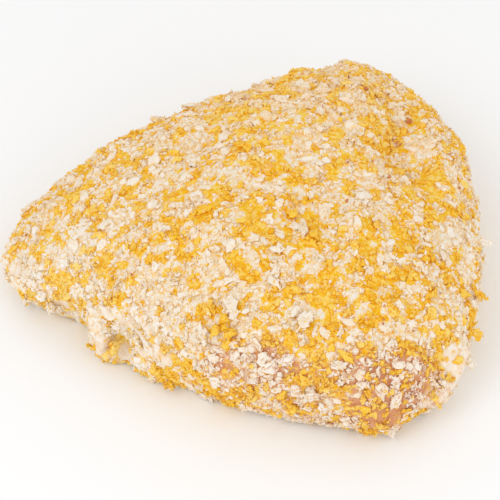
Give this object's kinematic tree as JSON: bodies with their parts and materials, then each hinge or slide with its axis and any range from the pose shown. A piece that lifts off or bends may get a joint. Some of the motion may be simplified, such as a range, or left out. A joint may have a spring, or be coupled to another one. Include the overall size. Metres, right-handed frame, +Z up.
{
  "type": "breaded stuffed chicken breast",
  "caption": "Whole uncut stuffed chicken breast in a loose coat of white and yellow breadcrumbs, narrow at one end, with a folded flap on its long side.",
  "frame": {"origin": "centre of the bounding box in plan, at the flat underside", "axes": "+X from the narrow tip to the blunt end, +Z up, and the long side with the folded flap faces -Y"},
  "size_m": [0.1282, 0.12, 0.038],
  "materials": {
    "crumb_coat": "matte, grainy bed of fine breadcrumbs, cream with golden yellow",
    "crumb_white": "matte white breadcrumb",
    "crumb_yellow": "matte golden yellow breadcrumb",
    "meat": "moist raw chicken meat, where the crumbs are thin"
  },
  "bodies": {
    "root": {"chicken_breast": "crumb_coat"}
  },
  "joints": []
}
